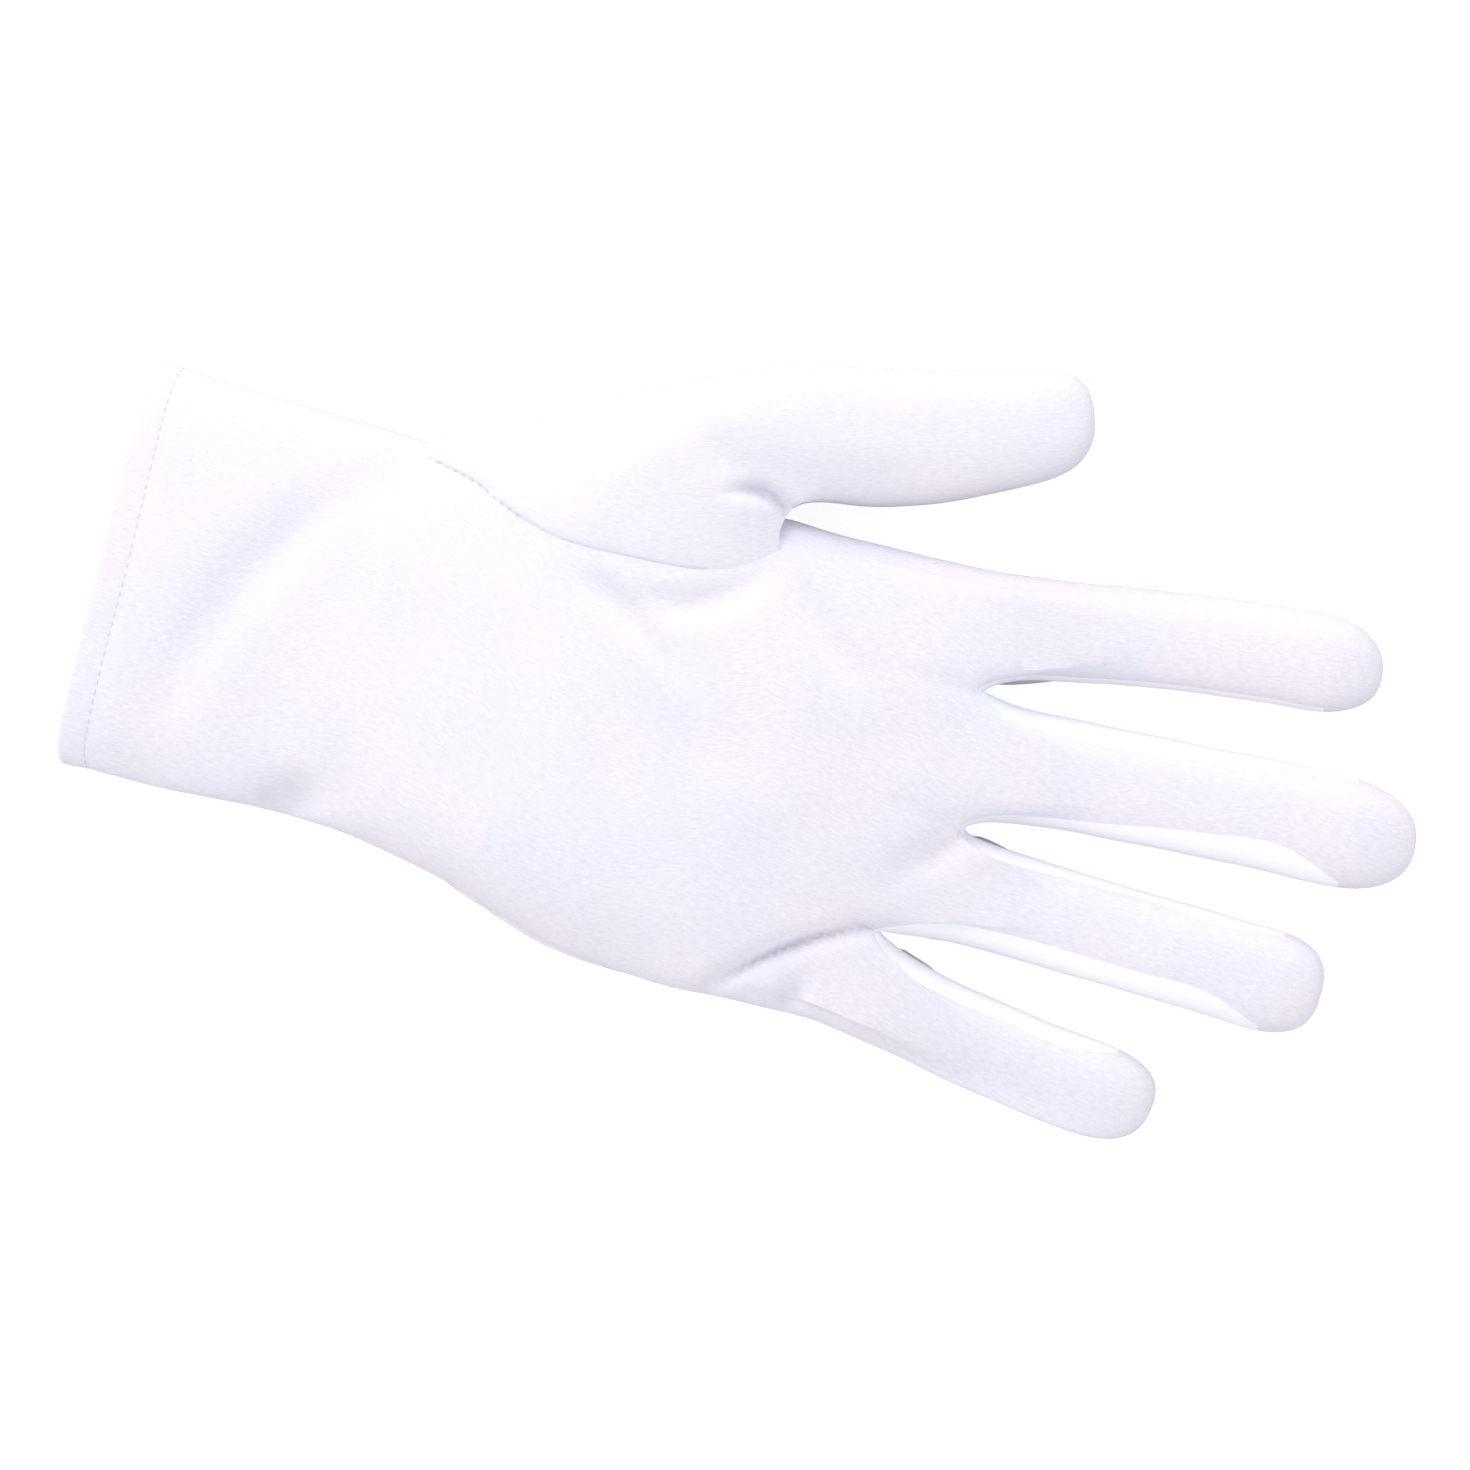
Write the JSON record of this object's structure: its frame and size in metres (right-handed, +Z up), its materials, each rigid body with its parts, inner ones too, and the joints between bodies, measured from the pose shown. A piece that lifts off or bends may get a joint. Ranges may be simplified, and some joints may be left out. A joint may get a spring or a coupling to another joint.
{
  "type": "costume glove",
  "caption": "White knit dress glove for the left hand, lying palm up, with set-in thumb, strips between the fingers and a stitched wrist hem.",
  "frame": {"origin": "centre of the bounding box, on the surface that the glove's back lies on", "axes": "+X from the cuff to the fingertips, +Y towards the thumb, +Z up, the way the palm faces"},
  "size_m": [0.235, 0.1296, 0.0296],
  "materials": {
    "trank_knit": "fine matt white warp knit",
    "thumb_knit": "fine matt white warp knit",
    "fourchette_knit": "fine matt white warp knit",
    "cuff_hem_knit": "fine matt white warp knit"
  },
  "bodies": {
    "root": {"trank": "trank_knit", "thumb": "thumb_knit", "fourchette_index_middle": "fourchette_knit", "fourchette_middle_ring": "fourchette_knit", "fourchette_ring_little": "fourchette_knit", "cuff_hem": "cuff_hem_knit"}
  },
  "joints": []
}
